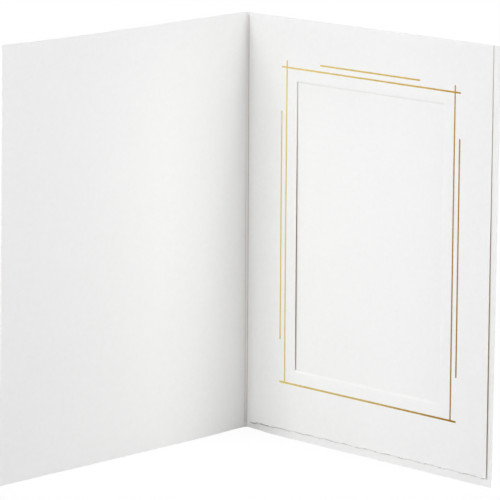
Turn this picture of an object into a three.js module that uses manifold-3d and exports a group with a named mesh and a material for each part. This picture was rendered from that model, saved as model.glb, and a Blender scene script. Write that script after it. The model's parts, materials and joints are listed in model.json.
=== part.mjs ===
// Photo folder: one scored card blank that stands open like a book, with a window mat on the back panel.
// Millimetres, +Z up. The back panel lies along +X from the spine, and its inner face looks towards -Y.
import * as THREE from 'three';
import { mergeVertices } from 'three/addons/utils/BufferGeometryUtils.js';
import Module from 'manifold-3d';

// Card blank
const PANEL_WIDTH = 152.4; // from crease to fore edge, 6 in
const PANEL_HEIGHT = 203.2; // 8 in
const CARD = 0.4; // thickness of the card
const OPENING_DEGREES = 93; // between the two inner faces as the folder stands
const CREASE_GAP = 0.15; // running gap between a panel's edge and the round of the spine strip
const CLOSED_GAP = 0.2; // left between the cover and the foil when the folder is shut

// Window mat
const POCKET = 0.3; // depth of the pocket for the print, between back panel and mat
const MAT_SIDE_INSET = 3.2; // back panel left showing beside the mat, at the spine and at the fore edge
const MAT_FOOT_INSET = 3.9; // back panel left showing below the torn edge, on average
const BEVEL_WIDTH = 1.4; // pressed slope round the window
const BEVEL_DEPTH = 0.2;
const DECKLE_DEPTH = 0.4; // greatest rise or fall of the torn edge
const DECKLE_STEP = 0.9; // spacing of the points along the torn edge
const DECKLE_WAVES = [
  { length: 12.6, share: 0.5, start: 2.3 },
  { length: 6.4, share: 0.25, start: 1.4 },
  { length: 20.9, share: 0.25, start: 0.4 },
];

// Print that slips in, and the glue that keeps it in place
const PRINT_WIDTH = 101.6; // 4 in
const PRINT_HEIGHT = 152.4; // 6 in
const PRINT_OVERLAP = 6.35; // edge of the print that the mat hides, a quarter inch
const PRINT_CLEARANCE = 0.6;
const GLUE_WIDTH = 5;
const GLUE_BREAK = 2; // between the end of one line of glue and the side of the next
const GLUE_FORE_MARGIN = 9; // from the mat's fore edge to the end of the glue

// Gold foil lines
const FOIL_LINE = 0.6; // width of a line
const FOIL = 0.05; // thickness
const BORDER_SIDE_MARGIN = 6.95; // from the window's side to the middle of the line
const BORDER_END_MARGIN = 6.45; // from the window's top or foot to the middle of the line
const BORDER_OVERRUN = 3.2; // how far a line runs past the corner
const ACCENT_OFFSET = 3.1; // from the border to an accent line
const ACCENT_INSET = 21; // from the border's corner to the end of an accent line

const SEAT = 0.01; // between two flat faces that rest on each other

// Places worked out from the driving dimensions
const FOLD = THREE.MathUtils.degToRad(180 - OPENING_DEGREES);
const BACK_INNER = -CARD / 2;
const MAT_REAR = BACK_INNER - POCKET;
const MAT_FRONT = MAT_REAR - CARD;
const CREASE_SPACING = CARD + POCKET + CARD + FOIL + CLOSED_GAP;
const FOLD_RADIUS = POCKET / 2 + CARD;
const FOLD_LINE = PANEL_HEIGHT - FOLD_RADIUS;
const MAT_START = MAT_SIDE_INSET;
const MAT_END = PANEL_WIDTH - MAT_SIDE_INSET;
const WINDOW_WIDTH = PRINT_WIDTH - 2 * PRINT_OVERLAP;
const WINDOW_HEIGHT = PRINT_HEIGHT - 2 * PRINT_OVERLAP;
const WINDOW_CENTRE_ACROSS = (MAT_START + MAT_END) / 2;
const WINDOW_CENTRE_UP = (MAT_FOOT_INSET + PANEL_HEIGHT) / 2;
const BORDER_WIDTH = WINDOW_WIDTH + 2 * BORDER_SIDE_MARGIN;
const BORDER_HEIGHT = WINDOW_HEIGHT + 2 * BORDER_END_MARGIN;

const card = new THREE.MeshStandardMaterial({ color: 0xf3f2ef, roughness: 0.85, metalness: 0 });
const glue = new THREE.MeshStandardMaterial({ color: 0xe6e0cf, roughness: 0.5, metalness: 0 });
const gold = new THREE.MeshStandardMaterial({ color: 0xcfa75a, roughness: 0.3, metalness: 1 });

const wasm = await Module();
wasm.setup();

function toManifold(geometry) {
  geometry.deleteAttribute('normal');
  geometry.deleteAttribute('uv');
  const welded = mergeVertices(geometry);
  return new wasm.Manifold(new wasm.Mesh({
    numProp: 3,
    vertProperties: welded.attributes.position.array,
    triVerts: Uint32Array.from(welded.index.array),
  }));
}

function toGeometry(solid) {
  const mesh = solid.getMesh();
  const geometry = new THREE.BufferGeometry();
  geometry.setAttribute('position', new THREE.BufferAttribute(mesh.vertProperties, 3));
  geometry.setIndex(new THREE.BufferAttribute(mesh.triVerts, 1));
  geometry.computeVertexNormals();
  return geometry;
}

function named(name, geometry, material) {
  const mesh = new THREE.Mesh(geometry, material);
  mesh.name = name;
  return mesh;
}

// Outline of a rectangle given by its centre, in a panel's own plane.
function rectangle(across, up, width, height) {
  const outline = new THREE.Shape();
  outline.moveTo(across - width / 2, up - height / 2);
  outline.lineTo(across + width / 2, up - height / 2);
  outline.lineTo(across + width / 2, up + height / 2);
  outline.lineTo(across - width / 2, up + height / 2);
  outline.closePath();
  return outline;
}

// A plan outline raised to a height.
function raise(plan, height) {
  return new THREE.ExtrudeGeometry(plan, { depth: height, bevelEnabled: false });
}

// An outline in the panel's plane (across, up), thickened from a rear face towards the viewer at -Y.
function upright(outline, rear, thickness, bevel = { bevelEnabled: false }) {
  const geometry = new THREE.ExtrudeGeometry(outline, { depth: thickness, ...bevel });
  const across = new THREE.Vector3(1, 0, 0);
  const up = new THREE.Vector3(0, 0, 1);
  const forward = new THREE.Vector3(0, -1, 0);
  geometry.applyMatrix4(new THREE.Matrix4().makeBasis(across, up, forward));
  return geometry.translate(0, rear, 0);
}

// Plan of a cover or back panel: square at the fore edge, hollowed at the crease round the strip's edge.
function panelPlan() {
  const half = CARD / 2;
  const hollow = half + CREASE_GAP;
  const reach = Math.asin(half / hollow);
  const plan = new THREE.Shape();
  plan.moveTo(PANEL_WIDTH, -half);
  plan.lineTo(PANEL_WIDTH, half);
  plan.absarc(0, 0, hollow, reach, -reach, true);
  plan.closePath();
  return plan;
}

function frontCover() {
  const mesh = named('front_cover', raise(panelPlan(), PANEL_HEIGHT), card);
  mesh.rotation.z = Math.PI; // the same panel, laid out on the other side of the spine
  return mesh;
}

function backPanel() {
  return named('back_panel', raise(panelPlan(), FOLD_LINE - SEAT), card);
}

// Strip between the creases, with edges rounded about the two crease lines.
function spineStrip() {
  const plan = new THREE.Shape();
  plan.absarc(0, 0, CARD / 2, -Math.PI / 2, Math.PI / 2, false);
  plan.absarc(-CREASE_SPACING, 0, CARD / 2, Math.PI / 2, 1.5 * Math.PI, false);
  plan.closePath();
  return named('spine_strip', raise(plan, PANEL_HEIGHT), card);
}

// Half-round turn-over of the card, from the back panel's top edge to the mat's.
function matTopFold() {
  const middle = BACK_INNER - POCKET / 2;
  const profile = new THREE.Shape();
  profile.absarc(middle, FOLD_LINE, FOLD_RADIUS, 0, Math.PI, false);
  profile.absarc(middle, FOLD_LINE, POCKET / 2, Math.PI, 0, true);
  profile.closePath();
  const geometry = new THREE.ExtrudeGeometry(profile, { depth: MAT_END - MAT_START, bevelEnabled: false });
  const outOfCard = new THREE.Vector3(0, 1, 0);
  const up = new THREE.Vector3(0, 0, 1);
  const across = new THREE.Vector3(1, 0, 0);
  geometry.applyMatrix4(new THREE.Matrix4().makeBasis(outOfCard, up, across));
  return named('mat_top_fold', geometry.translate(MAT_START, 0, 0), card);
}

// Height of the torn lower edge, from waves of unlike length, so that no stretch repeats.
function tornEdge(across) {
  const wander = DECKLE_WAVES.reduce(
    (sum, wave) => sum + wave.share * Math.sin((2 * Math.PI * across) / wave.length + wave.start),
    0,
  );
  return MAT_FOOT_INSET + DECKLE_DEPTH * wander;
}

// Mat: torn along the foot, cut straight elsewhere, with a window whose edge is pressed to a slope.
function windowMat() {
  const outline = new THREE.Shape();
  const top = FOLD_LINE - SEAT;
  const steps = Math.round((MAT_END - MAT_START) / DECKLE_STEP);
  outline.moveTo(MAT_END, top);
  outline.lineTo(MAT_START, top);
  for (let step = 0; step <= steps; step += 1) {
    const across = MAT_START + ((MAT_END - MAT_START) * step) / steps;
    outline.lineTo(across, tornEdge(across));
  }
  outline.closePath();

  const window = rectangle(WINDOW_CENTRE_ACROSS, WINDOW_CENTRE_UP, WINDOW_WIDTH, WINDOW_HEIGHT);
  outline.holes.push(window);
  const sheet = upright(outline, MAT_REAR, CARD);
  const slope = upright(window, MAT_FRONT, CARD, {
    bevelThickness: BEVEL_DEPTH,
    bevelSize: BEVEL_WIDTH,
    bevelSegments: 1,
  });
  return named('window_mat', toGeometry(toManifold(sheet).subtract(toManifold(slope))), card);
}

// Lines of glue in the pocket: above, below and on the spine side of the print, with the fore side open.
function glueLines() {
  const aside = PRINT_WIDTH / 2 + PRINT_CLEARANCE + GLUE_WIDTH / 2;
  const along = PRINT_HEIGHT / 2 + PRINT_CLEARANCE + GLUE_WIDTH / 2;
  const spineSide = WINDOW_CENTRE_ACROSS - aside;
  const start = spineSide - GLUE_WIDTH / 2;
  const end = MAT_END - GLUE_FORE_MARGIN;
  const reach = 2 * (along - GLUE_WIDTH / 2 - GLUE_BREAK);
  const line = (name, across, up, width, height) => {
    const outline = rectangle(across, up, width, height);
    return named(name, upright(outline, BACK_INNER - SEAT, POCKET - 2 * SEAT), glue);
  };
  return [
    line('glue_line_top', (start + end) / 2, WINDOW_CENTRE_UP + along, end - start, GLUE_WIDTH),
    line('glue_line_bottom', (start + end) / 2, WINDOW_CENTRE_UP - along, end - start, GLUE_WIDTH),
    line('glue_line_spine_side', spineSide, WINDOW_CENTRE_UP, GLUE_WIDTH, reach),
  ];
}

// A foil line on the mat, given by its centre measured from the window's centre.
function foilLine(aside, along, width, height) {
  const outline = rectangle(WINDOW_CENTRE_ACROSS + aside, WINDOW_CENTRE_UP + along, width, height);
  return upright(outline, MAT_FRONT - SEAT, FOIL);
}

// Four lines that cross: the level ones run past both corners, the upright ones only past the top.
function foilBorder() {
  const level = BORDER_WIDTH + 2 * BORDER_OVERRUN;
  const foot = -BORDER_HEIGHT / 2 - FOIL_LINE / 2;
  const head = BORDER_HEIGHT / 2 + BORDER_OVERRUN;
  const lines = [
    foilLine(0, BORDER_HEIGHT / 2, level, FOIL_LINE),
    foilLine(0, -BORDER_HEIGHT / 2, level, FOIL_LINE),
    foilLine(-BORDER_WIDTH / 2, (foot + head) / 2, FOIL_LINE, head - foot),
    foilLine(BORDER_WIDTH / 2, (foot + head) / 2, FOIL_LINE, head - foot),
  ];
  const figure = lines.map(toManifold).reduce((joined, line) => joined.add(line));
  return named('foil_border', toGeometry(figure), gold);
}

// Short lines outside the border: above it and on both sides, none below.
function foilAccents() {
  const aside = BORDER_WIDTH / 2 + ACCENT_OFFSET;
  const above = BORDER_HEIGHT / 2 + ACCENT_OFFSET;
  const level = BORDER_WIDTH - 2 * ACCENT_INSET;
  const tall = BORDER_HEIGHT - 2 * ACCENT_INSET;
  return [
    named('foil_accent_top', foilLine(0, above, level, FOIL_LINE), gold),
    named('foil_accent_spine_side', foilLine(-aside, 0, FOIL_LINE, tall), gold),
    named('foil_accent_fore_side', foilLine(aside, 0, FOIL_LINE, tall), gold),
  ];
}

// Cover on its crease, on the spine strip, on the back panel's crease
const coverGroup = new THREE.Group();
coverGroup.position.x = -CREASE_SPACING;
coverGroup.rotation.z = FOLD / 2;
coverGroup.add(frontCover());

const spineGroup = new THREE.Group();
spineGroup.rotation.z = FOLD / 2;
spineGroup.add(spineStrip(), coverGroup);

const blank = new THREE.Group();
blank.add(backPanel(), matTopFold(), windowMat(), ...glueLines(), foilBorder(), ...foilAccents(), spineGroup);

// The part's origin is under the middle of the standing folder
const extent = new THREE.Box3().setFromObject(blank, true);
const middle = extent.getCenter(new THREE.Vector3());
blank.position.set(-middle.x, -middle.y, -extent.min.z);

const folder = new THREE.Group();
folder.name = 'photo_folder';
folder.add(blank);

export default folder;
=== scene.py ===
"""Looks of a white card photo folder that stands open like a book.

The folder is one die-cut card: cover, spine strip and back panel, with the window mat turned over at
the top of the back panel. Places are in metres, in the part's own frame. On the back panel, "across"
runs from the back crease to the fore edge, "up" from the lower edge, and "out" from the middle of the
card towards the inside of the folder.
"""

import json
import math

import bpy
from mathutils import Matrix, Vector


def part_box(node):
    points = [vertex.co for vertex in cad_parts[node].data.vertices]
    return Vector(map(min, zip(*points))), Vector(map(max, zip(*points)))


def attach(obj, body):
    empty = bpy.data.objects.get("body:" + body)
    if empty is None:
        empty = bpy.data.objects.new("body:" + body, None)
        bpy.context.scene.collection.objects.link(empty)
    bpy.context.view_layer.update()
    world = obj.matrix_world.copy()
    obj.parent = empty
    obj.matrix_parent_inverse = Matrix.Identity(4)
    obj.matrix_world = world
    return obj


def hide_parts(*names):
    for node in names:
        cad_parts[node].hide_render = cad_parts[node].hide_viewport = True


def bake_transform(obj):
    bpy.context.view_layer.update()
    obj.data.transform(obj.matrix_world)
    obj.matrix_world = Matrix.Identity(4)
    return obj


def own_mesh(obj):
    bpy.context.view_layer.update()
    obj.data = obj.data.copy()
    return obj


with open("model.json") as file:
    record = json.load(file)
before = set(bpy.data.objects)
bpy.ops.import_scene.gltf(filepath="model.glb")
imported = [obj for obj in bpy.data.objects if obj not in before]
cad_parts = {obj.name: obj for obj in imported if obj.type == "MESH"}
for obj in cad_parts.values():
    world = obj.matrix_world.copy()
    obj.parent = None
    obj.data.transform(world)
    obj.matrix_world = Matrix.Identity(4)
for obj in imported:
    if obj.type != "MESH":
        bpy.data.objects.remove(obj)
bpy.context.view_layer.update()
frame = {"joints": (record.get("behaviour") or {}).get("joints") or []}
MM = 0.001

# Places read from the frame
JOINTS = {joint["name"]: joint for joint in frame["joints"]}
BACK_CREASE = Vector(JOINTS["back_crease"]["pos_m"]).xy
COVER_CREASE = Vector(JOINTS["cover_crease"]["pos_m"]).xy
CREASE_FOLD = math.radians(-JOINTS["back_crease"]["range_deg"][0])  # fold of each crease as it stands
BACK_LOW, BACK_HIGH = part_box("back_panel")
MAT_LOW, MAT_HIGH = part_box("window_mat")
PANEL_WIDTH = BACK_HIGH.x - BACK_CREASE.x
PANEL_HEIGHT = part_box("front_cover")[1].z
CARD = BACK_HIGH.y - BACK_LOW.y
POCKET = BACK_LOW.y - MAT_HIGH.y
FOLD_LINE = MAT_HIGH.z
MAT_START = MAT_LOW.x - BACK_CREASE.x
MAT_END = MAT_HIGH.x - BACK_CREASE.x
STRIP = (COVER_CREASE - BACK_CREASE).length

# Window in the mat
WINDOW_WIDTH = 88.9 * MM
WINDOW_HEIGHT = 139.7 * MM
WINDOW_ACROSS = (MAT_START + MAT_END) / 2
WINDOW_UP = sum(corner.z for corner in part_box("foil_accent_spine_side")) / 2
SPINE_SIDE_CUT_WIDE = 0.2 * MM  # the die cut the window a little wide towards the spine
FOOT_CUT_HIGH = 0.9 * MM  # and a little short at its foot
HEAD_CUT_LOW = 0.3 * MM  # and at its head
WINDOW_LEFT = WINDOW_ACROSS - WINDOW_WIDTH / 2 - SPINE_SIDE_CUT_WIDE
WINDOW_RIGHT = WINDOW_ACROSS + WINDOW_WIDTH / 2
WINDOW_FOOT = WINDOW_UP - WINDOW_HEIGHT / 2 + FOOT_CUT_HIGH
WINDOW_HEAD = WINDOW_UP + WINDOW_HEIGHT / 2 - HEAD_CUT_LOW
BEVEL_WIDTH = 1.4 * MM  # pressed slope round the window
BEVEL_DEPTH = 0.2 * MM
HEAD_BEVEL_WIDTH = 0.36 * MM  # it is steeper and deeper along the window's head
HEAD_BEVEL_DEPTH = 0.32 * MM
HEAD_BEVEL_REACH = 6 * MM

# Torn lower edge of the mat
MAT_FOOT = 3.75 * MM
TEAR_HEIGHT = 0.7 * MM  # each tooth of the tear goes up quickly and comes down slowly
TEAR_LENGTH = 11.8 * MM
TEAR_RISE = 0.25  # share of a tooth's length
TEAR_START = 20 * MM
TEAR_CROWDING = 0.5  # teeth are closer together about one place
TEAR_CROWDED_AT = 58 * MM
TEAR_CROWDED_REACH = 25 * MM
TEAR_FRAYS = ((2.3 * MM, 0.05 * MM), (1.37 * MM, 0.04 * MM))  # length and height
TEAR_REACH = 5 * MM  # height over which the tear fades into the sheet
TEAR_FEATHER = 0.12 * MM  # card lost from the front at the torn edge
TEAR_SLOPE = 0.4 * MM  # height over which it is lost
TEAR_SHADOW_HEIGHT = 0.26 * MM  # height of the painted shadow line along the tear, over its bare fibres
CORNER_SHADOW_HEIGHT = 0.65 * MM  # the painted shadow is taller at the corner by the spine
CORNER_REACH = 9 * MM
CORNER_DIP = 0.3 * MM  # and the tear runs lower there
TEAR_SHADE_REACH = 36 * MM  # from this far out the painted shadow gets darker towards the corner
CORNER_PALE_REACH = 3 * MM  # and paler at the corner itself

# How the cover lies
COVER_TWIST = 2.67 * MM  # its fore edge leans in at the top and out at the foot by this much
COVER_BOW = 2.36 * MM  # bulge of its top edge
COVER_BOW_PEAK = 4 / 27  # greatest value of t * t * (1 - t)

# How the mat lies
POCKET_AT_FOLD = 0.15 * MM  # gap between the mat and the back panel at the fold
POCKET_FULL = 60 * MM  # below the fold the gap has the pocket's full depth
LIFT_START = 30 * MM  # below the fold the mat begins to stand off
FORE_LIFT = 0.4 * MM  # its free fore edge stands off the back panel
FORE_LIFT_FULL = 150 * MM  # fully so this far below the fold
WINDOW_LIFT = 0.36 * MM  # so does the window's edge on the spine side
WINDOW_LIFT_FULL = 110 * MM  # fully so this far below the fold
WINDOW_LIFT_REACH = 5 * MM
WINDOW_LIFT_EASES = 22 * MM  # above the window's foot this lift begins to ease
WINDOW_LIFT_ENDS = 14 * MM  # and below the foot it is gone
CORNER_LIFT = 0.75 * MM  # the mat's lower corner by the spine stands off too
CORNER_LIFT_WIDTH = 16 * MM
CORNER_LIFT_HEIGHT = 9 * MM
LIP_LIFT = 0.3 * MM  # and so does each tooth of the tear
LIP_REACH = 2 * MM
WINDOW_FOOT_SINK = 0.2 * MM  # the window's lower edge is bent in
WINDOW_FOOT_ENDS = 4 * MM
FOOT_PRESSED = 0.6  # the rest of the foot is pressed close, by this share of the pocket's depth
FOOT_REACH = 18 * MM
SPINE_SIDE_PRESSED = 0.6  # and so is the spine side
SPINE_SIDE_REACH = 15 * MM
MAT_SKEW = 0.6 * MM  # the mat's fore edge comes in by this much at the top

# How the back panel and the spine lie
PANEL_SKEW = 0.7 * MM  # the back panel's fore edge comes in by this much at the foot
FOOT_CURL = 0.35 * MM  # the back panel's foot curls to the front
FOOT_CURL_REACH = 5.5 * MM
POCKET_EDGE = 2 * MM  # this far under the mat's open edges, the back panel has the pocket's painted warm shade
SIDE_RISE = 0.25 * MM  # the strip beside the mat reaches a little above the fold line
SIDE_RISE_REACH = 6 * MM
SIDE_RISE_START = 0.3 * MM  # distance from the mat over which it does
SPINE_FOOT_RISE = 0.55 * MM  # the foot of the spine is pushed up a little
SPINE_FOOT_REACH = 11 * MM
COVER_FOOT_REACH = 24 * MM  # and the cover's foot with it, further out

# Creases
CREASE_RADIUS = 0.3 * MM
SCORE_DEPTH = 0.26 * MM  # groove that the creasing rule left inside each crease
SCORE_WIDTH = 0.15 * MM
CREASE_SHADE_HALF_WIDTH = 0.08 * MM  # half the width of the painted shade line along the bottom of the groove
COVER_SCORE_EASED = 0.8  # the cover's groove gets finer towards the top by this share
SCORE_DRIFT = 0.32 * MM  # the back panel's groove runs into the strip by this much at the foot
SCORE_DRIFT_HEIGHT = 150 * MM  # and by less and less up to this height
SCORE_DRIFT_REACH = 0.6 * MM  # the card on both sides is shifted with it
SCORE_FADE = 2.4 * MM  # the groove runs out over this length at both ends
EDGE_SOFTENING = 0.05 * MM
SHARP_ANGLE = math.radians(40)  # edges with a sharper turn than this are cut edges

# Gold foil
FOIL = 0.03 * MM
FOIL_LINE = 0.6 * MM
FOIL_OVERRUN = 3.2 * MM  # a border line goes past its corner by this much
FOIL_SPREAD = 0.08 * MM  # the hot foil spreads past its die
FOOT_FOIL_SPREAD = 0.14 * MM  # further at the foot, where the die pressed harder
FOIL_DRAWN_IN = 0.36 * MM  # the stamping came out this much lower, and narrower on each side, at its top

# Glue
GLUE_CLEARANCE = 0.01 * MM

# Spacing of the grids, closer where the card turns, tears or is pressed
CREASE_STEPS = [x * MM for x in (0, 0.02, 0.05, 0.08, 0.11, 0.15, 0.2, 0.26, 0.34)]  # from a crease
TEAR_STEPS = [x * MM for x in (0.3, 0.45, 0.7, 1.2, 2, 3.4)]  # from the torn edge
BEVEL_STEPS = 4
HEAD_BEVEL_STEPS = 3
PANEL_END_STEPS = 4
FOLD_STEPS = 8
STRIP_SPACING = 0.1 * MM
SIDE_SPACING = 1 * MM
TEAR_SPACING = 0.5 * MM
MAT_FOOT_SPACING = 6 * MM
WINDOW_SPACING = 8 * MM
MAT_HEAD_SPACING = 5 * MM
BACK_SPACING = 12 * MM
COVER_ROW_SPACING = 6 * MM
COVER_COLUMN_SPACING = 4 * MM
COVER_FIRST_COLUMN = 2 * MM
STRIPE_SPACING = 4 * MM
SAME_PLACE = 1e-7  # places closer than this are one

# Light, from a bank of softboxes on each side and one behind
SOFTBOX = 0.4  # side of each
SOFTBOX_DISTANCE = 1.2
LEFT_BANK = ((-8, 22, 7.67), (-8, 4, 1.43), (-26, 4, 1.73))  # azimuth, elevation, watts
RIGHT_BANK = ((94, 45, 4.07), (94, 22, 2.03), (102, 22, 1.73), (102, 4, 2.82))
REAR_BANK = ((223, 30, 10.5),)
LAMP_COLOUR = (0.967, 0.974, 1)  # cool enough for the warm card to look white
SURROUND_STRENGTH = 0.225

# Floor
FLOOR_RADIUS = 4.0
FLOOR_BOUNCE = 0.45  # share of the light that the floor throws back on to the folder
FLOOR_MELT_START = 0.08  # distances over which the floor melts into the white background
FLOOR_MELT_END = 0.34
FLOOR_MELTED_AT_START = 0.9  # share of white that it has from the start

# Camera, from the corners of the panels and of the gold border
CAMERA_AZIMUTH = 42.9
CAMERA_ELEVATION = 12.05
CAMERA_ROLL = 0.25
CAMERA_DISTANCE = 1552 * MM
CAMERA_AIM = Vector((-14.64, 16.36, 105.81)) * MM
FOCAL_LENGTH = 245.8  # in millimetres, as the sensor's width
SENSOR_WIDTH = 36
NEAREST_SEEN = 0.05
FURTHEST_SEEN = 50


def smooth(value, low, high):
    """0 below low, 1 above high, with a smooth rise between."""
    t = min(1.0, max(0.0, (value - low) / (high - low)))
    return t * t * (3 - 2 * t)


def bell(value, middle, spread):
    """1 at the middle, falling to 0 on both sides."""
    return math.exp(-(((value - middle) / spread) ** 2))


def even_steps(low, high, count):
    """Evenly spaced places from low to high, both included."""
    return [low + (high - low) * i / count for i in range(count + 1)]


def steps(low, high, spacing):
    """Evenly spaced places from low to high, about one spacing apart."""
    return even_steps(low, high, max(1, round((high - low) / spacing)))


def joined(*runs):
    """Runs of places in one rising list, without repeats."""
    places = []
    for place in sorted(place for run in runs for place in run):
        if not places or place - places[-1] > SAME_PLACE:
            places.append(place)
    return places


# Card sheets
def card_sheet(name, columns, rows, place, keep, paint):
    """A sheet of card over a grid of columns and rows, with its cut edges closed.

    place(column, row, side) gives a point of the front (side 1) or the rear (side -1), keep(column, row)
    says whether the cell with that middle is card, and paint(column, row, part) gives the material of its
    front, rear or cut face."""
    index = {}
    points = []
    faces = []
    finishes = []

    def corner(i, j, side):
        if (i, j, side) not in index:
            index[i, j, side] = len(points)
            points.append(place(columns[i], rows[j], side))
        return index[i, j, side]

    def middle(i, j):
        return (columns[i] + columns[i + 1]) / 2, (rows[j] + rows[j + 1]) / 2

    cells = [(i, j) for i in range(len(columns) - 1) for j in range(len(rows) - 1)]
    card = {cell for cell in cells if keep(*middle(*cell))}
    for i, j in sorted(card):
        at = middle(i, j)
        ring = ((i, j), (i + 1, j), (i + 1, j + 1), (i, j + 1))
        neighbours = ((i, j - 1), (i + 1, j), (i, j + 1), (i - 1, j))
        faces.append([corner(*crossing, 1) for crossing in ring])
        faces.append([corner(*crossing, -1) for crossing in reversed(ring)])
        finishes += [paint(*at, "front"), paint(*at, "rear")]
        for edge, neighbour in enumerate(neighbours):
            if neighbour in card:
                continue
            a, b = ring[edge], ring[(edge + 1) % len(ring)]
            faces.append([corner(*b, 1), corner(*a, 1), corner(*a, -1), corner(*b, -1)])
            finishes.append(paint(*at, "cut"))

    mesh = bpy.data.meshes.new(name)
    mesh.from_pydata(points, [], faces)
    slots = list(dict.fromkeys(finishes))
    for material in slots:
        mesh.materials.append(material)
    mesh.polygons.foreach_set("material_index", [slots.index(finish) for finish in finishes])
    mesh.polygons.foreach_set("use_smooth", [True] * len(faces))
    mesh.set_sharp_from_angle(angle=SHARP_ANGLE)
    piece = bpy.data.objects.new(name, mesh)
    bpy.context.scene.collection.objects.link(piece)
    return piece


def soften(piece, width):
    """Round off the cut edges of a sheet."""
    bevel = piece.modifiers.new("softened_edges", "BEVEL")
    bevel.width = width
    bevel.segments = 2
    bevel.limit_method = "ANGLE"
    bevel.angle_limit = SHARP_ANGLE
    bevel.harden_normals = True


def on_panel(crease, fold, along, out, up):
    """Point at a distance along a panel from its crease, and out from the middle of its card.
    fold is the angle that the panel has turned from lying flat to the left of the crease."""
    direction = Vector((-math.cos(fold), -math.sin(fold)))
    inside = Vector((math.sin(fold), -math.cos(fold)))
    flat = crease + direction * along + inside * out
    return (flat.x, flat.y, up)


def on_back(across, out, up):
    return on_panel(BACK_CREASE, 0, -across, out, up)


def plain_paint(_column, _row, part):
    return cut_edge_and_head_shade if part == "cut" else white_card


def always(_column, _row):
    return True


# Creases
CREASE_COLUMNS = joined([-x for x in CREASE_STEPS], CREASE_STEPS)
CREASE_REACH = CREASE_STEPS[-1]
ARC_SAVING = 2 * CREASE_RADIUS * (math.tan(CREASE_FOLD / 2) - CREASE_FOLD / 2)
STRIP_ON_BACK = STRIP - ARC_SAVING - CREASE_REACH  # part of the strip on the back panel's sheet


def score(distance, up):
    """Depth of the groove at a distance along the card from a crease."""
    ends = smooth(up, 0, SCORE_FADE) * smooth(PANEL_HEIGHT - up, 0, SCORE_FADE)
    return SCORE_DEPTH * bell(distance, 0, SCORE_WIDTH) * ends


def cover_score_share(up):
    """Share of the full groove that the cover's groove has at a height."""
    return 1 - COVER_SCORE_EASED * up / PANEL_HEIGHT


def score_drift(across, up):
    """How far the back panel's groove, and the card beside it, is shifted into the strip."""
    near = 1 - smooth(abs(across), CREASE_REACH, CREASE_REACH + SCORE_DRIFT_REACH)
    return SCORE_DRIFT * max(0, 1 - up / SCORE_DRIFT_HEIGHT) ** 2 * near


def in_crease_shade(distance, up, half_width):
    """Whether a place at a distance from a crease is in the painted shade line along the bottom of its
    groove.
    """
    return abs(distance) < half_width and SCORE_FADE < up < PANEL_HEIGHT - SCORE_FADE / 2


def round_crease(crease, fold_before, along, groove, side, up):
    """Point of the card where it rounds a crease. along runs from the panel before the crease (negative)
    to the strip or panel after it, groove is the depth of the groove there, and side 1 is the inside."""
    tangent = CREASE_RADIUS * math.tan(CREASE_FOLD / 2)
    half_arc = CREASE_RADIUS * CREASE_FOLD / 2
    out = side * CARD / 2
    if side > 0:
        out -= groove
    if along <= -half_arc:
        return on_panel(crease, fold_before, along + half_arc - tangent, out, up)
    if along >= half_arc:
        return on_panel(crease, fold_before + CREASE_FOLD, along - half_arc + tangent, out, up)
    turned = (along + half_arc) / CREASE_RADIUS
    start = Vector(on_panel(crease, fold_before, -tangent, CREASE_RADIUS, up)).xy
    return on_panel(start, fold_before + turned, 0, out - CREASE_RADIUS, up)


def spine_foot(distance, up, reach):
    """How far a place is pushed up, at a distance from the spine."""
    return SPINE_FOOT_RISE * bell(distance, 0, reach) * (1 - smooth(up, 0, SPINE_FOOT_REACH))


def panel_rows(height, spacing):
    """Heights on a panel, closer together where the grooves run out."""
    ends = even_steps(0, SCORE_FADE, PANEL_END_STEPS)
    foot = even_steps(0, SPINE_FOOT_REACH, PANEL_END_STEPS)
    plain = steps(SPINE_FOOT_REACH, height - SCORE_FADE, spacing)
    return joined(ends, foot, [height - x for x in ends], plain)


# Mat
def tooth(across):
    """How far along its tooth a place on the tear is, from 0 to 1."""
    turn = (across - TEAR_START) / TEAR_LENGTH + TEAR_RISE
    turn += TEAR_CROWDING * bell(across, TEAR_CROWDED_AT, TEAR_CROWDED_REACH)
    return turn - math.floor(turn)


def torn_edge(across):
    """Height of the torn edge."""
    along = tooth(across)
    teeth = TEAR_HEIGHT * (smooth(along, 0, TEAR_RISE) - along - (1 - TEAR_RISE) / 2)
    frays = sum(height * math.sin(2 * math.pi * across / length) for length, height in TEAR_FRAYS)
    dip = CORNER_DIP * bell(across, MAT_START, CORNER_REACH)
    return MAT_FOOT + teeth + frays - dip


def window_foot_sink(across, up):
    """How far the window's lower edge is bent in."""
    if not (WINDOW_LEFT < across < WINDOW_RIGHT and up <= WINDOW_FOOT):
        return 0
    away_from_ends = smooth(min(across - WINDOW_LEFT, WINDOW_RIGHT - across), 0, WINDOW_FOOT_ENDS)
    return WINDOW_FOOT_SINK * away_from_ends * (1 - smooth(WINDOW_FOOT - up, 0, BEVEL_WIDTH))


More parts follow.
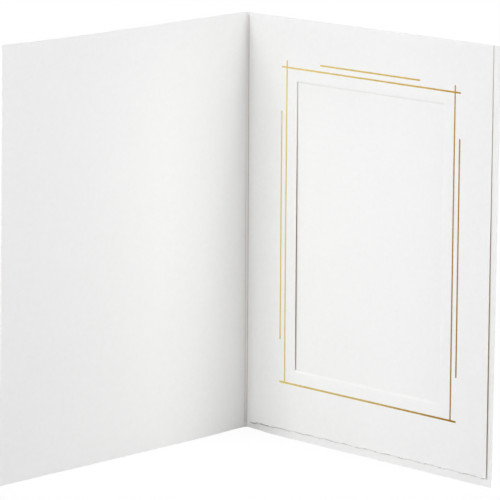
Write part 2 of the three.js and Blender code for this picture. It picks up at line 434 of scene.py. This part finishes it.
def mat_gap(across, up):
    """Gap between the back panel and the mat: narrow at the fold, and wider where nothing holds the mat."""
    below_fold = FOLD_LINE - up
    away_from_fold = smooth(below_fold, 0, POCKET_FULL)
    near_foot = 1 - smooth(up, MAT_FOOT, MAT_FOOT + FOOT_REACH)
    near_spine = 1 - smooth(across, MAT_START, MAT_START + SPINE_SIDE_REACH)
    near_fore_edge = smooth(across, WINDOW_RIGHT, MAT_END)
    beside_window = smooth(below_fold, LIFT_START, WINDOW_LIFT_FULL)
    beside_window *= smooth(up, WINDOW_FOOT - WINDOW_LIFT_ENDS, WINDOW_FOOT + WINDOW_LIFT_EASES)
    in_corner = bell(across, MAT_START, CORNER_LIFT_WIDTH) * bell(up, MAT_FOOT, CORNER_LIFT_HEIGHT)
    lip = bell(tooth(across), TEAR_RISE, TEAR_RISE / 2) * (1 - smooth(up, MAT_FOOT, MAT_FOOT + LIP_REACH))

    gap = POCKET_AT_FOLD + (POCKET - POCKET_AT_FOLD) * away_from_fold
    gap *= 1 - FOOT_PRESSED * near_foot
    gap *= 1 - SPINE_SIDE_PRESSED * away_from_fold * near_spine
    gap += FORE_LIFT * near_fore_edge * smooth(below_fold, LIFT_START, FORE_LIFT_FULL)
    gap += WINDOW_LIFT * bell(across, WINDOW_LEFT, WINDOW_LIFT_REACH) * beside_window
    gap += CORNER_LIFT * in_corner
    gap += LIP_LIFT * lip * smooth(across, MAT_START, TEAR_START)
    return gap - window_foot_sink(across, up)


def beyond_window(across, up):
    """How far a place on the mat lies outside the window, along the nearer side."""
    return max(WINDOW_LEFT - across, across - WINDOW_RIGHT, WINDOW_FOOT - up, up - WINDOW_HEAD)


def mat_face(across, up):
    """Height of the mat's front face above the middle of the back panel's card."""
    near_head = smooth(up, WINDOW_HEAD - HEAD_BEVEL_REACH, WINDOW_HEAD)
    bevel_width = BEVEL_WIDTH + (HEAD_BEVEL_WIDTH - BEVEL_WIDTH) * near_head
    bevel_depth = BEVEL_DEPTH + (HEAD_BEVEL_DEPTH - BEVEL_DEPTH) * near_head
    pressed = bevel_depth * (1 - smooth(beyond_window(across, up), 0, bevel_width))
    feathered = TEAR_FEATHER * (1 - smooth(up - torn_edge(across), 0, TEAR_SLOPE))
    return CARD / 2 + mat_gap(across, up) + CARD - pressed - feathered


def out_of_true(across, up):
    """How far a place is moved, as the fore edges of mat and back panel are not quite upright."""
    share = up / FOLD_LINE
    at_mat_edge = -MAT_SKEW * share
    at_panel_edge = -PANEL_SKEW * (1 - share)
    beyond_mat = max(0, across - MAT_END) / (PANEL_WIDTH - MAT_END)
    return at_mat_edge * smooth(across, WINDOW_RIGHT, MAT_END) + (at_panel_edge - at_mat_edge) * beyond_mat


def mat_point(across, level, side):
    """level is the height on an untorn mat; near the foot, the sheet follows the tear."""
    across += out_of_true(across, level)
    up = level + (torn_edge(across) - MAT_FOOT) * (1 - smooth(level, MAT_FOOT, MAT_FOOT + TEAR_REACH))
    out = mat_face(across, up) if side > 0 else CARD / 2 + mat_gap(across, up)
    return on_back(across, out, up)


def fold_point(across, turned, side):
    """The turn-over, from the mat (turned 0) to the back panel (turned pi)."""
    across += out_of_true(across, FOLD_LINE)
    middle = (CARD + POCKET_AT_FOLD) / 2
    radius = middle + side * CARD / 2
    return on_back(across, middle + radius * math.cos(turned), FOLD_LINE + radius * math.sin(turned))


# Back panel, with the mat turned over at its top
BACK_START = FOLD_LINE + math.pi  # rows go up the mat, over the fold by its angle, and down the back


def turned_over(place):
    """Height of a row on the back panel, or the row of a height there."""
    return BACK_START + FOLD_LINE - place


def back_rows():
    """Places along the card from the mat's torn foot, up and over the fold, and down the back panel."""
    slope = even_steps(0, BEVEL_WIDTH, BEVEL_STEPS)
    mat = joined(
        [MAT_FOOT, MAT_FOOT + TEAR_SHADOW_HEIGHT, MAT_FOOT + TEAR_REACH],
        [MAT_FOOT + x for x in TEAR_STEPS],
        steps(MAT_FOOT + TEAR_REACH, WINDOW_FOOT - BEVEL_WIDTH, MAT_FOOT_SPACING),
        [WINDOW_FOOT - x for x in slope],
        steps(WINDOW_FOOT, WINDOW_HEAD, WINDOW_SPACING),
        even_steps(WINDOW_HEAD, WINDOW_HEAD + HEAD_BEVEL_WIDTH, HEAD_BEVEL_STEPS),
        steps(WINDOW_HEAD + BEVEL_WIDTH, FOLD_LINE, MAT_HEAD_SPACING),
    )
    fold = [FOLD_LINE + turned for turned in even_steps(0, math.pi, FOLD_STEPS)]
    back = [turned_over(height) for height in panel_rows(FOLD_LINE, BACK_SPACING)]
    return joined(mat, fold, back)


def back_columns():
    """Places across, from the spine strip to the fore edge."""
    slope = even_steps(0, BEVEL_WIDTH, BEVEL_STEPS)
    return joined(
        steps(-STRIP_ON_BACK, -CREASE_REACH, STRIP_SPACING),
        CREASE_COLUMNS,
        steps(CREASE_REACH, CREASE_REACH + SCORE_DRIFT_REACH, STRIP_SPACING),
        steps(CREASE_REACH + SCORE_DRIFT_REACH, MAT_START, SIDE_SPACING),
        steps(MAT_START, WINDOW_LEFT - BEVEL_WIDTH, TEAR_SPACING),
        [WINDOW_LEFT - POCKET_EDGE, *(WINDOW_LEFT - x for x in slope)],
        steps(WINDOW_LEFT, WINDOW_RIGHT, TEAR_SPACING),
        [WINDOW_RIGHT + x for x in slope],
        steps(WINDOW_RIGHT + BEVEL_WIDTH, MAT_END, TEAR_SPACING),
        [MAT_END - POCKET_EDGE, MAT_END + SIDE_RISE_START, PANEL_WIDTH],
    )


def side_rise(across, up):
    """The back panel's strips beside the fold reach a little above the fold line."""
    near_top = smooth(up, FOLD_LINE - SIDE_RISE_REACH, FOLD_LINE)
    by_spine = (PANEL_HEIGHT - FOLD_LINE) * smooth(MAT_START - across, 0, SIDE_RISE_START)
    by_fore_edge = SIDE_RISE * smooth(across - MAT_END, 0, SIDE_RISE_START)
    return near_top * (by_spine + by_fore_edge)


def foot_curl(across, up):
    """How far the back panel's foot comes to the front."""
    away_from_spine = smooth(across, MAT_START, MAT_START + SPINE_SIDE_REACH)
    return FOOT_CURL * max(0, 1 - up / FOOT_CURL_REACH) * away_from_spine


def back_point(across, row, side):
    """Point of the mat, of the turn-over or of the back panel with the spine strip."""
    if row <= FOLD_LINE:
        return mat_point(across, row, side)
    if row < BACK_START:
        return fold_point(across, row - FOLD_LINE, side)
    up = turned_over(row)
    raised = up + side_rise(across, up) + spine_foot(across, up, SPINE_FOOT_REACH)
    if across > MAT_START:
        out = foot_curl(across, up) - side * CARD / 2
        return on_back(across + out_of_true(across, up), out, raised)
    along = score_drift(across, up) - across
    return round_crease(BACK_CREASE, 0, along, score(across, up), -side, raised)


def back_keep(across, row):
    """Whether there is card: not in the window, nor beside the mat."""
    if row > BACK_START:
        return True
    on_mat = MAT_START < across < MAT_END
    return on_mat and (row > FOLD_LINE or beyond_window(across, row) > 0)


def under_open_edge(across, up):
    """Whether a place on the back panel is just under the mat's fore edge or the window's edge."""
    under_fore_edge = MAT_END - POCKET_EDGE < across < MAT_END
    under_window_edge = WINDOW_LEFT - POCKET_EDGE < across < WINDOW_LEFT
    return FOOT_CURL_REACH < up < FOLD_LINE - LIFT_START and (under_fore_edge or under_window_edge)


def back_paint(across, row, part):
    """Material of a place; the back panel's inner face is the rear of this sheet."""
    # painted shadow line along the torn foot of the mat
    if row < MAT_FOOT + TEAR_SHADOW_HEIGHT + CORNER_SHADOW_HEIGHT * bell(across, MAT_START, CORNER_REACH):
        return tear_shadow
    if row < FOLD_LINE:
        upright = not WINDOW_LEFT < across < WINDOW_RIGHT
        # upright cut edges of the mat get painted shade
        if part == "cut" and upright:
            return mat_edge_shade
        # the pressed slope along the window's head gets the duller cut-edge colour as painted shade
        if part == "front" and not upright and WINDOW_HEAD < row < WINDOW_HEAD + HEAD_BEVEL_WIDTH:
            return cut_edge_and_head_shade
        # the mat's rear gets the pocket's painted shade
        if part == "rear":
            return pocket_shade
    elif part == "rear":
        up = turned_over(row)
        # painted shade line in the back panel's crease groove
        if in_crease_shade(across, up, CREASE_SHADE_HALF_WIDTH):
            return crease_shade_line
        # the spine strip gets the gutter's painted shade
        if across < 0:
            return gutter_shade_card
        # painted shade on the back panel under the mat's open edges
        if under_open_edge(across, up):
            return pocket_shade
    return plain_paint(across, row, part)


# Strip's other half and the start of the cover
def cover_crease_point(along, up, side):
    groove = score(along, up) * cover_score_share(up)
    raised = up + spine_foot(along, up, COVER_FOOT_REACH)
    return round_crease(COVER_CREASE, CREASE_FOLD, along, groove, side, raised)


def crease_paint(along, up, part):
    # painted shade line in the cover's crease groove
    if part == "front" and in_crease_shade(along, up, CREASE_SHADE_HALF_WIDTH * cover_score_share(up)):
        return crease_shade_line
    # the spine strip gets the gutter's painted shade
    if part == "front" and along < 0:
        return gutter_shade_card
    return plain_paint(along, up, part)


# Cover
def cover_warp(along, up):
    """How far the cover stands from its flat place, towards the inside."""
    t = along / PANEL_WIDTH
    s = up / PANEL_HEIGHT
    twist = COVER_TWIST * t * (2 * s - 1)
    bow = COVER_BOW / COVER_BOW_PEAK * t * t * (1 - t) * s
    return twist + bow


def cover_point(along, up, side):
    out = side * CARD / 2 + cover_warp(along, up)
    raised = up + spine_foot(along, up, COVER_FOOT_REACH)
    return on_panel(COVER_CREASE, 2 * CREASE_FOLD, along, out, raised)


# Foil lines on the mat, and glue under it
def foil_point(across, up, side):
    """Point of the foil on the mat's face, drawn in as the stamping came out."""
    drawn_in = FOIL_DRAWN_IN * up / FOLD_LINE
    across -= drawn_in * (across - WINDOW_ACROSS) / (WINDOW_WIDTH / 2)
    up -= drawn_in
    return on_back(across, mat_face(across, up) + side * FOIL, up)


def spread(box):
    """Box of a foil line once the hot foil has spread."""
    (left, foot), (right, head) = box
    by = FOOT_FOIL_SPREAD if head < WINDOW_FOOT else FOIL_SPREAD
    return (left - by, foot - by), (right + by, head + by)


def foil_paint(_column, _row, _part):
    return gold_foil


def glue_point(across, up, side):
    """Point of the glue between the back panel and the mat."""
    height = mat_gap(across, up) - GLUE_CLEARANCE if side > 0 else 0
    return on_back(across, CARD / 2 + height, up)


def glue_paint(_column, _row, _part):
    return dried_glue


def stripe_steps(low, high):
    return steps(low, high, min(STRIPE_SPACING, (high - low) / 2))


def stripes(name, boxes, place, paint):
    """A thin piece over stripes of the mat, each given by its lowest and highest corner (across, up)."""
    columns = joined(*[stripe_steps(low[0], high[0]) for low, high in boxes])
    rows = joined(*[stripe_steps(low[1], high[1]) for low, high in boxes])

    def keep(across, up):
        return any(low[0] < across < high[0] and low[1] < up < high[1] for low, high in boxes)

    piece = card_sheet(name, columns, rows, place, keep, paint)
    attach(piece, "back")
    return piece


def box_on_back(node):
    low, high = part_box(node)
    return (low.x - BACK_CREASE.x, low.z), (high.x - BACK_CREASE.x, high.z)


def border_lines():
    """Four lines that cross: the level ones run past both corners, the upright ones only past the top."""
    (left, foot), (right, head) = box_on_back("foil_border")
    inner_left = left + FOIL_OVERRUN - FOIL_LINE / 2
    inner_right = right - FOIL_OVERRUN - FOIL_LINE / 2
    top = head - FOIL_OVERRUN - FOIL_LINE / 2
    return [
        ((left, foot), (right, foot + FOIL_LINE)),
        ((left, top), (right, top + FOIL_LINE)),
        ((inner_left, foot), (inner_left + FOIL_LINE, head)),
        ((inner_right, foot), (inner_right + FOIL_LINE, head)),
    ]


# Nodes that the materials share
def new_material(name):
    material = bpy.data.materials.new(name)
    material.use_nodes = True
    tree = material.node_tree
    shader = tree.nodes["Principled BSDF"]
    return material, tree, shader


def noise(tree, scale, detail, roughness=0.5):
    """Noise over the object's own coordinates; scale is features per metre."""
    place = tree.nodes.new("ShaderNodeTexCoord")
    texture = tree.nodes.new("ShaderNodeTexNoise")
    texture.inputs["Scale"].default_value = scale
    texture.inputs["Detail"].default_value = detail
    texture.inputs["Roughness"].default_value = roughness
    tree.links.new(place.outputs["Object"], texture.inputs["Vector"])
    return texture.outputs["Fac"]


def rise(tree, axis, start, end, height):
    """A value that goes from 0 at start to height at end, along an axis of the object."""
    place = tree.nodes.new("ShaderNodeTexCoord")
    parts = tree.nodes.new("ShaderNodeSeparateXYZ")
    tree.links.new(place.outputs["Object"], parts.inputs["Vector"])
    node = tree.nodes.new("ShaderNodeMapRange")
    node.inputs["From Min"].default_value = start
    node.inputs["From Max"].default_value = end
    node.inputs["To Max"].default_value = height
    tree.links.new(parts.outputs[axis], node.inputs["Value"])
    return node.outputs["Result"]


def plus(tree, value, other, share=1):
    """A value with a share of another added."""
    node = tree.nodes.new("ShaderNodeMath")
    node.operation = "MULTIPLY_ADD"
    node.inputs[1].default_value = share
    tree.links.new(other, node.inputs[0])
    tree.links.new(value, node.inputs[2])
    return node.outputs["Value"]


def colour(tree, shader, value, low_colour, high_colour, low=0.3, high=0.7):
    """Colour the surface from low_colour, where a value is low, to high_colour, where it is high."""
    node = tree.nodes.new("ShaderNodeValToRGB")
    first, last = node.color_ramp.elements
    first.position = low
    last.position = high
    first.color = (*low_colour, 1)
    last.color = (*high_colour, 1)
    tree.links.new(value, node.inputs["Fac"])
    tree.links.new(node.outputs["Color"], shader.inputs["Base Color"])


def bump(tree, shader, height, distance, strength):
    node = tree.nodes.new("ShaderNodeBump")
    node.inputs["Strength"].default_value = strength
    node.inputs["Distance"].default_value = distance
    tree.links.new(height, node.inputs["Height"])
    tree.links.new(node.outputs["Normal"], shader.inputs["Normal"])


def sheen(shader, roughness, gloss):
    shader.inputs["Roughness"].default_value = roughness
    shader.inputs["Specular IOR Level"].default_value = gloss


def card_mottle(tree):
    """Faint clouds in the pulp of the card."""
    return noise(tree, scale=420, detail=5, roughness=0.6)


def card_grain(tree):
    """Fine eggshell grain of the card's face."""
    return noise(tree, scale=2100, detail=4, roughness=0.62)


def grained(tree, shader):
    """Give a card's face its grain."""
    bump(tree, shader, card_grain(tree), distance=0.04 * MM, strength=0.35)


def pulp_material(name, scale, low_colour, high_colour):
    """Dull, fibrous colour of bare pulp, used also for painted shade on the mat's edges and in the crease
    grooves.
    """
    material, tree, shader = new_material(name)
    fibres = noise(tree, scale, detail=4, roughness=0.6)
    colour(tree, shader, fibres, low_colour, high_colour)
    bump(tree, shader, fibres, distance=0.05 * MM, strength=0.5)
    sheen(shader, roughness=0.95, gloss=0.1)
    return material


# Materials
def card_material():
    """Uncoated white card."""
    material, tree, shader = new_material("white_card")
    colour(tree, shader, card_mottle(tree), (0.872, 0.866, 0.845), (0.895, 0.889, 0.868))
    grained(tree, shader)
    sheen(shader, roughness=0.82, gloss=0.28)
    return material


def cut_edge_material():
    """Cut edge of the card, where the bare pulp is a little warmer and duller; also painted shade on the
    pressed slope along the window's head.
    """
    return pulp_material(
        "cut_card_edge_and_head_shade", scale=3000, low_colour=(0.8, 0.79, 0.765), high_colour=(0.87, 0.86, 0.84)
    )


def mat_edge_shade_material():
    """Cut edge of the mat: tan pulp, darker than the other cut edges as painted shade for the slot behind
    it.
    """
    return pulp_material(
        "cut_mat_edge_shade", scale=3000, low_colour=(0.76, 0.73, 0.67), high_colour=(0.86, 0.83, 0.77)
    )


def gutter_shade_material():
    """Card of the spine strip, with the gutter's warm shade painted on it, darker towards the foot."""
    material, tree, shader = new_material("gutter_shade_card")
    lower_down = rise(tree, "Z", PANEL_HEIGHT, PANEL_HEIGHT / 4, height=0.8)
    shade_amount = plus(tree, lower_down, card_mottle(tree), share=0.4)
    colour(tree, shader, shade_amount, (0.885, 0.875, 0.85), (0.89, 0.85, 0.787), low=0.2, high=1)
    grained(tree, shader)
    sheen(shader, roughness=0.85, gloss=0.25)
    return material


def crease_shade_material():
    """Painted shade along the bottom of a crease's groove, darker and warmer than the card."""
    return pulp_material(
        "crease_shade_line", scale=1500, low_colour=(0.5, 0.43, 0.34), high_colour=(0.63, 0.55, 0.46)
    )


def tear_shadow_material():
    """Bare fibres along the tear, darkened into a painted shadow line: broken, darker towards the spine and
    paler at the corner.
    """
    material, tree, shader = new_material("tear_shadow")
    corner = BACK_CREASE.x + MAT_START
    beside_corner = corner + CORNER_PALE_REACH
    darker = rise(tree, "X", corner + TEAR_SHADE_REACH, beside_corner, height=-0.07)
    lighter = rise(tree, "X", beside_corner, corner, height=0.15)
    patches = noise(tree, scale=320, detail=4, roughness=0.6)
    tone = plus(tree, plus(tree, darker, lighter), patches)
    colour(tree, shader, tone, (0.33, 0.321, 0.297), (0.74, 0.733, 0.715), low=0.42, high=0.56)
    fuzz = noise(tree, scale=900, detail=5, roughness=0.65)
    bump(tree, shader, fuzz, distance=0.1 * MM, strength=0.8)
    sheen(shader, roughness=0.95, gloss=0.1)
    return material


def pocket_shade_material():
    """Painted warm shade in the pocket behind the mat: on the mat's rear, and on the back panel just under
    its open edges.
    """
    material, tree, shader = new_material("pocket_shade")
    colour(tree, shader, card_mottle(tree), (0.82, 0.7, 0.5), (0.88, 0.76, 0.57))
    grained(tree, shader)
    sheen(shader, roughness=0.9, gloss=0.15)
    return material


def foil_material():
    """Hot-stamped gold that takes the card's grain, with painted shade in its colour: deeper towards the
    fore edge and the foot, standing in for the darker reflections it shows there.
    """
    material, tree, shader = new_material("gold_foil")
    # painted shade: the gold darkens towards the fore edge and the foot
    fore_edge = rise(tree, "X", BACK_CREASE.x + MAT_START, BACK_CREASE.x + MAT_END, height=0.75)
    foot = rise(tree, "Z", WINDOW_HEAD, WINDOW_FOOT, height=0.06)
    tone = plus(tree, plus(tree, fore_edge, foot), noise(tree, scale=700, detail=3), share=0.3)
    colour(tree, shader, tone, (0.79, 0.63, 0.18), (0.3, 0.155, 0.002), low=0.3, high=0.84)
    rubbed = tree.nodes.new("ShaderNodeMapRange")
    rubbed.inputs["To Min"].default_value = 0.24
    rubbed.inputs["To Max"].default_value = 0.42
    tree.links.new(noise(tree, scale=1300, detail=4), rubbed.inputs["Value"])
    tree.links.new(rubbed.outputs["Result"], shader.inputs["Roughness"])
    bump(tree, shader, card_grain(tree), distance=0.02 * MM, strength=0.3)
    shader.inputs["Metallic"].default_value = 1.0
    return material


def glue_material():
    """Dried paper glue: milky, a little glossy, with the ripple of its brush."""
    material, tree, shader = new_material("dried_glue")
    colour(tree, shader, noise(tree, scale=500, detail=3), (0.72, 0.69, 0.6), (0.82, 0.8, 0.73))
    bump(tree, shader, noise(tree, scale=900, detail=2), distance=0.05 * MM, strength=0.4)
    sheen(shader, roughness=0.42, gloss=0.5)
    return material


white_card = card_material()
cut_edge_and_head_shade = cut_edge_material()
mat_edge_shade = mat_edge_shade_material()
gutter_shade_card = gutter_shade_material()
crease_shade_line = crease_shade_material()
tear_shadow = tear_shadow_material()
pocket_shade = pocket_shade_material()
gold_foil = foil_material()
dried_glue = glue_material()

# Pieces
back = card_sheet("back_panel_and_mat", back_columns(), back_rows(), back_point, back_keep, back_paint)
soften(back, EDGE_SOFTENING)
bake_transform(back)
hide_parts("back_panel", "window_mat", "mat_top_fold")

cover_rows = panel_rows(PANEL_HEIGHT, COVER_ROW_SPACING)
spine = card_sheet("spine_crease", CREASE_COLUMNS, cover_rows, cover_crease_point, always, crease_paint)
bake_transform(spine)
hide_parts("spine_strip")

cover_start = CREASE_REACH + ARC_SAVING / 2
cover_columns = joined([cover_start], steps(COVER_FIRST_COLUMN, PANEL_WIDTH, COVER_COLUMN_SPACING))
cover = card_sheet("front_cover_sheet", cover_columns, cover_rows, cover_point, always, plain_paint)
soften(cover, EDGE_SOFTENING)
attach(cover, "cover")
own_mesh(cover)
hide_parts("front_cover")

foil_lines = {"foil_border": border_lines()}
for accent in ("foil_accent_top", "foil_accent_spine_side", "foil_accent_fore_side"):
    foil_lines[accent] = [box_on_back(accent)]
for node, lines in foil_lines.items():
    foil = stripes("gold_" + node, [spread(line) for line in lines], foil_point, foil_paint)
    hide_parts(node)

for node in ("glue_line_top", "glue_line_bottom", "glue_line_spine_side"):
    glue = stripes("dried_" + node, [box_on_back(node)], glue_point, glue_paint)
    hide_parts(node)


# Floor, light and camera
def seen_directly(tree):
    """1 for what the camera sees, straight or in a mirror or glass, and 0 for light on its way."""
    path = tree.nodes.new("ShaderNodeLightPath")
    seen = path.outputs["Is Camera Ray"]
    for ray in ("Is Glossy Ray", "Is Transmission Ray"):
        either = tree.nodes.new("ShaderNodeMath")
        either.operation = "MAXIMUM"
        tree.links.new(seen, either.inputs[0])
        tree.links.new(path.outputs[ray], either.inputs[1])
        seen = either.outputs["Value"]
    return seen


def melted(tree):
    """How far the floor has melted into the background, by its distance from the folder."""
    place = tree.nodes.new("ShaderNodeTexCoord")
    distance = tree.nodes.new("ShaderNodeVectorMath")
    distance.operation = "LENGTH"
    tree.links.new(place.outputs["Object"], distance.inputs[0])
    melt = tree.nodes.new("ShaderNodeMapRange")
    melt.interpolation_type = "SMOOTHSTEP"
    melt.inputs["From Min"].default_value = FLOOR_MELT_START
    melt.inputs["From Max"].default_value = FLOOR_MELT_END
    melt.inputs["To Min"].default_value = FLOOR_MELTED_AT_START
    melt.inputs["To Max"].default_value = 1.0
    tree.links.new(distance.outputs["Value"], melt.inputs["Value"])
    return melt.outputs["Result"]


def floor_material():
    """White floor that keeps the folder's soft shadow and melts into the white background further out."""
    material, tree, shader = new_material("white_floor")
    tree.nodes.remove(shader)
    seen = seen_directly(tree)
    diffuse = tree.nodes.new("ShaderNodeBsdfDiffuse")
    shade = tree.nodes.new("ShaderNodeMix")
    shade.data_type = "RGBA"
    shade.inputs["A"].default_value = (FLOOR_BOUNCE, FLOOR_BOUNCE, FLOOR_BOUNCE, 1)
    shade.inputs["B"].default_value = (1, 1, 1, 1)
    tree.links.new(seen, shade.inputs["Factor"])
    tree.links.new(shade.outputs["Result"], diffuse.inputs["Color"])
    white = tree.nodes.new("ShaderNodeEmission")
    white.inputs["Strength"].default_value = 1.0

    share = tree.nodes.new("ShaderNodeMath")
    share.operation = "MULTIPLY"
    tree.links.new(seen, share.inputs[0])
    tree.links.new(melted(tree), share.inputs[1])
    mix = tree.nodes.new("ShaderNodeMixShader")
    tree.links.new(share.outputs["Value"], mix.inputs["Fac"])
    tree.links.new(diffuse.outputs["BSDF"], mix.inputs[1])
    tree.links.new(white.outputs["Emission"], mix.inputs[2])
    tree.links.new(mix.outputs["Shader"], tree.nodes["Material Output"].inputs["Surface"])
    return material


def make_floor(radius):
    corners = [(-radius, -radius, 0), (radius, -radius, 0), (radius, radius, 0), (-radius, radius, 0)]
    mesh = bpy.data.meshes.new("floor")
    mesh.from_pydata(corners, [], [(0, 1, 2, 3)])
    mesh.materials.append(floor_material())
    floor = bpy.data.objects.new("floor", mesh)
    bpy.context.scene.collection.objects.link(floor)


def make_world(strength):
    """A white surround for the camera and for reflections, and an even soft light for the rest."""
    world = bpy.data.worlds.new("studio")
    bpy.context.scene.world = world
    world.use_nodes = True
    tree = world.node_tree
    light = tree.nodes["Background"]
    light.inputs["Color"].default_value = (*LAMP_COLOUR, 1)
    light.inputs["Strength"].default_value = strength
    white = tree.nodes.new("ShaderNodeBackground")
    white.inputs["Color"].default_value = (1, 1, 1, 1)
    white.inputs["Strength"].default_value = 1.0
    mix = tree.nodes.new("ShaderNodeMixShader")
    tree.links.new(seen_directly(tree), mix.inputs["Fac"])
    tree.links.new(light.outputs["Background"], mix.inputs[1])
    tree.links.new(white.outputs["Background"], mix.inputs[2])
    tree.links.new(mix.outputs["Shader"], tree.nodes["World Output"].inputs["Surface"])


def towards(azimuth, elevation):
    """Direction from the object; azimuth 0 is the side that the back panel's inner face looks to."""
    a, e = math.radians(azimuth), math.radians(elevation)
    return Vector((math.sin(a) * math.cos(e), -math.cos(a) * math.cos(e), math.sin(e)))


def softbox(name, azimuth, elevation, power):
    lamp = bpy.data.lights.new(name, "AREA")
    lamp.shape = "SQUARE"
    lamp.size = SOFTBOX
    lamp.energy = power
    lamp.color = LAMP_COLOUR
    box = bpy.data.objects.new(name, lamp)
    aim = Vector((0, 0, PANEL_HEIGHT / 2))
    box.location = aim + towards(azimuth, elevation) * SOFTBOX_DISTANCE
    box.rotation_euler = (box.location - aim).to_track_quat("Z", "Y").to_euler()
    bpy.context.scene.collection.objects.link(box)


def make_camera():
    lens = bpy.data.cameras.new("photo_view")
    lens.lens = FOCAL_LENGTH
    lens.sensor_width = SENSOR_WIDTH
    lens.clip_start = NEAREST_SEEN
    lens.clip_end = FURTHEST_SEEN
    camera = bpy.data.objects.new("photo_view", lens)
    backwards = towards(CAMERA_AZIMUTH, CAMERA_ELEVATION)
    camera.location = CAMERA_AIM + backwards * CAMERA_DISTANCE
    level = backwards.to_track_quat("Z", "Y").to_matrix().to_4x4()
    roll = Matrix.Rotation(math.radians(CAMERA_ROLL), 4, "Z")
    camera.rotation_euler = (level @ roll).to_euler()
    bpy.context.scene.collection.objects.link(camera)
    bpy.context.scene.camera = camera


make_floor(FLOOR_RADIUS)
make_world(SURROUND_STRENGTH)
for bank, boxes in (("left", LEFT_BANK), ("right", RIGHT_BANK), ("rear", REAR_BANK)):
    for number, (azimuth, elevation, power) in enumerate(boxes):
        softbox(f"{bank}_softbox_{number}", azimuth, elevation, power)
make_camera()
bpy.context.scene.view_settings.view_transform = "Standard"
